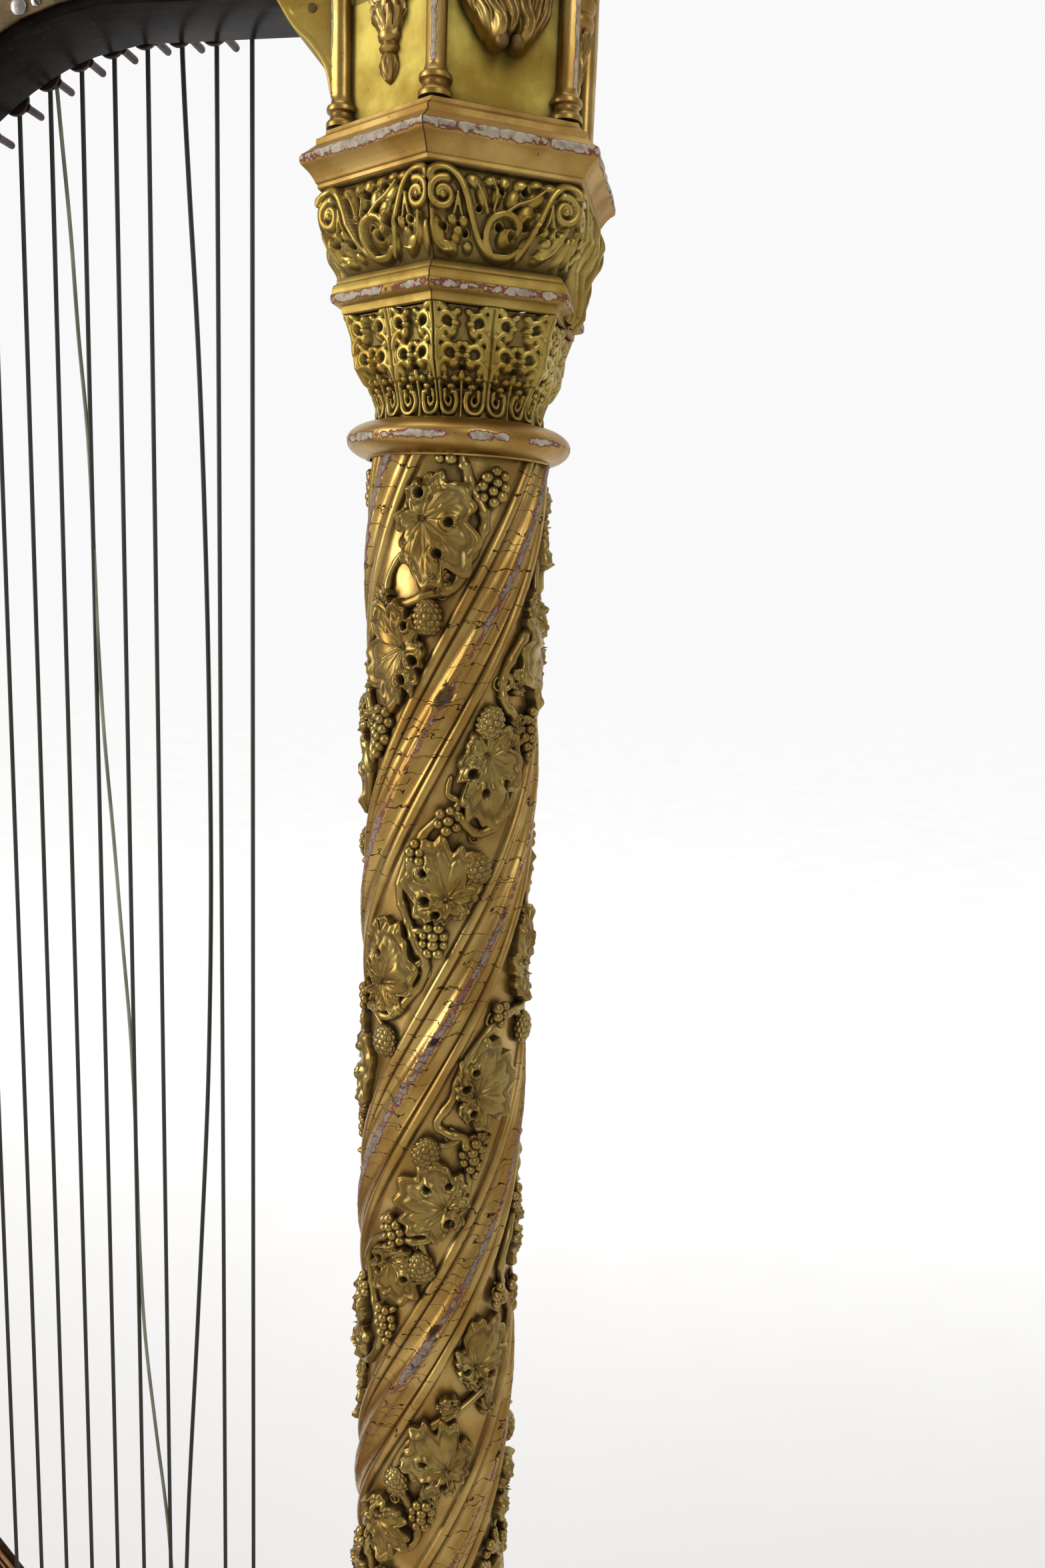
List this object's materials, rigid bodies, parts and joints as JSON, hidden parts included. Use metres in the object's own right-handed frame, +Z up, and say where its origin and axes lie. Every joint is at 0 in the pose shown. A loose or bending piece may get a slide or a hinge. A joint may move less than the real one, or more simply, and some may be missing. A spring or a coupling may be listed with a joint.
{
  "type": "pedal harp",
  "caption": "Gilt gothic pedal harp: twisted column, carved capital and tower, curved neck with fork discs, strings, tapering soundbox, and a base with sprung pedals.",
  "frame": {"origin": "centre of the overall box in X and Y, on the floor under the feet", "axes": "+Z up along the column; +X from the soundbox towards the column, away from the player; +Y to the player's left, the side the strings and discs are on"},
  "size_m": [0.9518, 0.3818, 1.78],
  "materials": {
    "gilding": "water gilding over red bole and gesso, burnished, worn",
    "neck_wood": "dark stained and varnished",
    "box_maple": "varnished, semi-gloss",
    "board_spruce": "varnished honey brown",
    "action_brass": "lacquered, aged",
    "disc_brass": "dark aged",
    "pedal_brass": "worn, satin",
    "rod_steel": "oiled",
    "string_gut": "dark gut and covered strings"
  },
  "bodies": {
    "harp": {"action_plate_left": "action_brass", "action_plate_right": "action_brass", "base_box": "gilding", "base_floor": "gilding", "capital_astragal": "gilding", "capital_bell": "gilding", "capital_cornice": "gilding", "capital_frieze": "gilding", "capital_lower_moulding": "gilding", "column_base_moulding": "gilding", "column_pedestal": "gilding", "column_shaft": "gilding", "crown_cap": "gilding", "foot_back_left": "gilding", "foot_back_right": "gilding", "foot_front_left": "gilding", "foot_front_right": "gilding", "neck": "neck_wood", "neck_corbel": "gilding", "pedal_axle": "rod_steel", "shoulder_block": "box_maple", "soundboard": "board_spruce", "soundbox_shell": "box_maple", "string_band": "string_gut", "tower_colonnette_1": "gilding", "tower_colonnette_2": "gilding", "tower_colonnette_3": "gilding", "tower_colonnette_4": "gilding", "tower_colonnette_5": "gilding", "tower_colonnette_6": "gilding", "tower_core": "gilding", "tower_gallery": "gilding"},
    "natural_disc_a": {"natural_disc_a": "disc_brass"},
    "natural_disc_b": {"natural_disc_b": "disc_brass"},
    "natural_disc_c": {"natural_disc_c": "disc_brass"},
    "natural_disc_d": {"natural_disc_d": "disc_brass"},
    "natural_disc_e": {"natural_disc_e": "disc_brass"},
    "natural_disc_f": {"natural_disc_f": "disc_brass"},
    "natural_disc_g": {"natural_disc_g": "disc_brass"},
    "pedal_a": {"pedal_a": "pedal_brass"},
    "pedal_b": {"pedal_b": "pedal_brass"},
    "pedal_c": {"pedal_c": "pedal_brass"},
    "pedal_d": {"pedal_d": "pedal_brass"},
    "pedal_e": {"pedal_e": "pedal_brass"},
    "pedal_f": {"pedal_f": "pedal_brass"},
    "pedal_g": {"pedal_g": "pedal_brass"},
    "pull_rod_a": {"pull_rod_a": "rod_steel"},
    "pull_rod_b": {"pull_rod_b": "rod_steel"},
    "pull_rod_c": {"pull_rod_c": "rod_steel"},
    "pull_rod_d": {"pull_rod_d": "rod_steel"},
    "pull_rod_e": {"pull_rod_e": "rod_steel"},
    "pull_rod_f": {"pull_rod_f": "rod_steel"},
    "pull_rod_g": {"pull_rod_g": "rod_steel"},
    "sharp_disc_a": {"sharp_disc_a": "disc_brass"},
    "sharp_disc_b": {"sharp_disc_b": "disc_brass"},
    "sharp_disc_c": {"sharp_disc_c": "disc_brass"},
    "sharp_disc_d": {"sharp_disc_d": "disc_brass"},
    "sharp_disc_e": {"sharp_disc_e": "disc_brass"},
    "sharp_disc_f": {"sharp_disc_f": "disc_brass"},
    "sharp_disc_g": {"sharp_disc_g": "disc_brass"}
  },
  "joints": [
    {"name": "pedal_d_press", "type": "hinge", "parent": "harp", "child": "pedal_d", "pos_m": [0.40804, 0.0156, 0.096], "axis": [0, -1, 0], "range_deg": [0, 8.5], "stiffness_Nm_per_rad": 30, "springref_deg": -8.59},
    {"name": "pedal_c_press", "type": "hinge", "parent": "harp", "child": "pedal_c", "pos_m": [0.40804, 0.0104, 0.096], "axis": [0, -1, 0], "range_deg": [0, 8.5], "stiffness_Nm_per_rad": 30, "springref_deg": -8.59},
    {"name": "pedal_b_press", "type": "hinge", "parent": "harp", "child": "pedal_b", "pos_m": [0.40804, 0.0052, 0.096], "axis": [0, -1, 0], "range_deg": [0, 8.5], "stiffness_Nm_per_rad": 30, "springref_deg": -8.59},
    {"name": "pedal_e_press", "type": "hinge", "parent": "harp", "child": "pedal_e", "pos_m": [0.40804, 0, 0.096], "axis": [0, -1, 0], "range_deg": [0, 8.5], "stiffness_Nm_per_rad": 30, "springref_deg": -8.59},
    {"name": "pedal_f_press", "type": "hinge", "parent": "harp", "child": "pedal_f", "pos_m": [0.40804, -0.0052, 0.096], "axis": [0, -1, 0], "range_deg": [0, 8.5], "stiffness_Nm_per_rad": 30, "springref_deg": -8.59},
    {"name": "pedal_g_press", "type": "hinge", "parent": "harp", "child": "pedal_g", "pos_m": [0.40804, -0.0104, 0.096], "axis": [0, -1, 0], "range_deg": [0, 8.5], "stiffness_Nm_per_rad": 30, "springref_deg": -8.59},
    {"name": "pedal_a_press", "type": "hinge", "parent": "harp", "child": "pedal_a", "pos_m": [0.40804, -0.0156, 0.096], "axis": [0, -1, 0], "range_deg": [0, 8.5], "stiffness_Nm_per_rad": 30, "springref_deg": -8.59},
    {"name": "pull_rod_d_slide", "type": "slide", "parent": "harp", "child": "pull_rod_d", "axis": [0, 0, -1], "range_m": [0, 0.0075]},
    {"name": "pull_rod_c_slide", "type": "slide", "parent": "harp", "child": "pull_rod_c", "axis": [0, 0, -1], "range_m": [0, 0.0075]},
    {"name": "pull_rod_b_slide", "type": "slide", "parent": "harp", "child": "pull_rod_b", "axis": [0, 0, -1], "range_m": [0, 0.0075]},
    {"name": "pull_rod_e_slide", "type": "slide", "parent": "harp", "child": "pull_rod_e", "axis": [0, 0, -1], "range_m": [0, 0.0075]},
    {"name": "pull_rod_f_slide", "type": "slide", "parent": "harp", "child": "pull_rod_f", "axis": [0, 0, -1], "range_m": [0, 0.0075]},
    {"name": "pull_rod_g_slide", "type": "slide", "parent": "harp", "child": "pull_rod_g", "axis": [0, 0, -1], "range_m": [0, 0.0075]},
    {"name": "pull_rod_a_slide", "type": "slide", "parent": "harp", "child": "pull_rod_a", "axis": [0, 0, -1], "range_m": [0, 0.0075]},
    {"name": "natural_disc_d_turn", "type": "hinge", "parent": "harp", "child": "natural_disc_d", "pos_m": [0.24124, 0.0203, 1.54278], "axis": [0, 1, 0], "range_deg": [0, 29]},
    {"name": "sharp_disc_d_turn", "type": "hinge", "parent": "harp", "child": "sharp_disc_d", "pos_m": [0.24124, 0.0203, 1.4685], "axis": [0, 1, 0], "range_deg": [0, 29]},
    {"name": "natural_disc_e_turn", "type": "hinge", "parent": "harp", "child": "natural_disc_e", "pos_m": [0.22525, 0.0203, 1.54129], "axis": [0, 1, 0], "range_deg": [0, 29]},
    {"name": "sharp_disc_e_turn", "type": "hinge", "parent": "harp", "child": "sharp_disc_e", "pos_m": [0.22525, 0.0203, 1.4685], "axis": [0, 1, 0], "range_deg": [0, 29]},
    {"name": "natural_disc_f_turn", "type": "hinge", "parent": "harp", "child": "natural_disc_f", "pos_m": [0.20938, 0.0203, 1.53948], "axis": [0, 1, 0], "range_deg": [0, 29]},
    {"name": "sharp_disc_f_turn", "type": "hinge", "parent": "harp", "child": "sharp_disc_f", "pos_m": [0.20938, 0.0203, 1.46819], "axis": [0, 1, 0], "range_deg": [0, 29]},
    {"name": "natural_disc_g_turn", "type": "hinge", "parent": "harp", "child": "natural_disc_g", "pos_m": [0.19362, 0.0203, 1.53489], "axis": [0, 1, 0], "range_deg": [0, 29]},
    {"name": "sharp_disc_g_turn", "type": "hinge", "parent": "harp", "child": "sharp_disc_g", "pos_m": [0.19362, 0.0203, 1.46525], "axis": [0, 1, 0], "range_deg": [0, 29]},
    {"name": "natural_disc_a_turn", "type": "hinge", "parent": "harp", "child": "natural_disc_a", "pos_m": [0.17797, 0.0203, 1.52851], "axis": [0, 1, 0], "range_deg": [0, 29]},
    {"name": "sharp_disc_a_turn", "type": "hinge", "parent": "harp", "child": "sharp_disc_a", "pos_m": [0.17797, 0.0203, 1.46061], "axis": [0, 1, 0], "range_deg": [0, 29]},
    {"name": "natural_disc_b_turn", "type": "hinge", "parent": "harp", "child": "natural_disc_b", "pos_m": [0.16244, 0.0203, 1.5192], "axis": [0, 1, 0], "range_deg": [0, 29]},
    {"name": "sharp_disc_b_turn", "type": "hinge", "parent": "harp", "child": "sharp_disc_b", "pos_m": [0.16244, 0.0203, 1.45319], "axis": [0, 1, 0], "range_deg": [0, 29]},
    {"name": "natural_disc_c_turn", "type": "hinge", "parent": "harp", "child": "natural_disc_c", "pos_m": [0.14702, 0.0203, 1.50765], "axis": [0, 1, 0], "range_deg": [0, 29]},
    {"name": "sharp_disc_c_turn", "type": "hinge", "parent": "harp", "child": "sharp_disc_c", "pos_m": [0.14702, 0.0203, 1.44364], "axis": [0, 1, 0], "range_deg": [0, 29]}
  ],
  "couplings": [
    {"joint": "pull_rod_d_slide", "follows": "pedal_d_press", "m_per_rad": 0.05},
    {"joint": "pull_rod_c_slide", "follows": "pedal_c_press", "m_per_rad": 0.05},
    {"joint": "pull_rod_b_slide", "follows": "pedal_b_press", "m_per_rad": 0.05},
    {"joint": "pull_rod_e_slide", "follows": "pedal_e_press", "m_per_rad": 0.05},
    {"joint": "pull_rod_f_slide", "follows": "pedal_f_press", "m_per_rad": 0.05},
    {"joint": "pull_rod_g_slide", "follows": "pedal_g_press", "m_per_rad": 0.05},
    {"joint": "pull_rod_a_slide", "follows": "pedal_a_press", "m_per_rad": 0.05},
    {"joint": "natural_disc_d_turn", "follows": "pedal_d_press", "ratio": 3.4},
    {"joint": "sharp_disc_d_turn", "follows": "pedal_d_press", "ratio": 3.4},
    {"joint": "natural_disc_e_turn", "follows": "pedal_e_press", "ratio": 3.4},
    {"joint": "sharp_disc_e_turn", "follows": "pedal_e_press", "ratio": 3.4},
    {"joint": "natural_disc_f_turn", "follows": "pedal_f_press", "ratio": 3.4},
    {"joint": "sharp_disc_f_turn", "follows": "pedal_f_press", "ratio": 3.4},
    {"joint": "natural_disc_g_turn", "follows": "pedal_g_press", "ratio": 3.4},
    {"joint": "sharp_disc_g_turn", "follows": "pedal_g_press", "ratio": 3.4},
    {"joint": "natural_disc_a_turn", "follows": "pedal_a_press", "ratio": 3.4},
    {"joint": "sharp_disc_a_turn", "follows": "pedal_a_press", "ratio": 3.4},
    {"joint": "natural_disc_b_turn", "follows": "pedal_b_press", "ratio": 3.4},
    {"joint": "sharp_disc_b_turn", "follows": "pedal_b_press", "ratio": 3.4},
    {"joint": "natural_disc_c_turn", "follows": "pedal_c_press", "ratio": 3.4},
    {"joint": "sharp_disc_c_turn", "follows": "pedal_c_press", "ratio": 3.4}
  ]
}
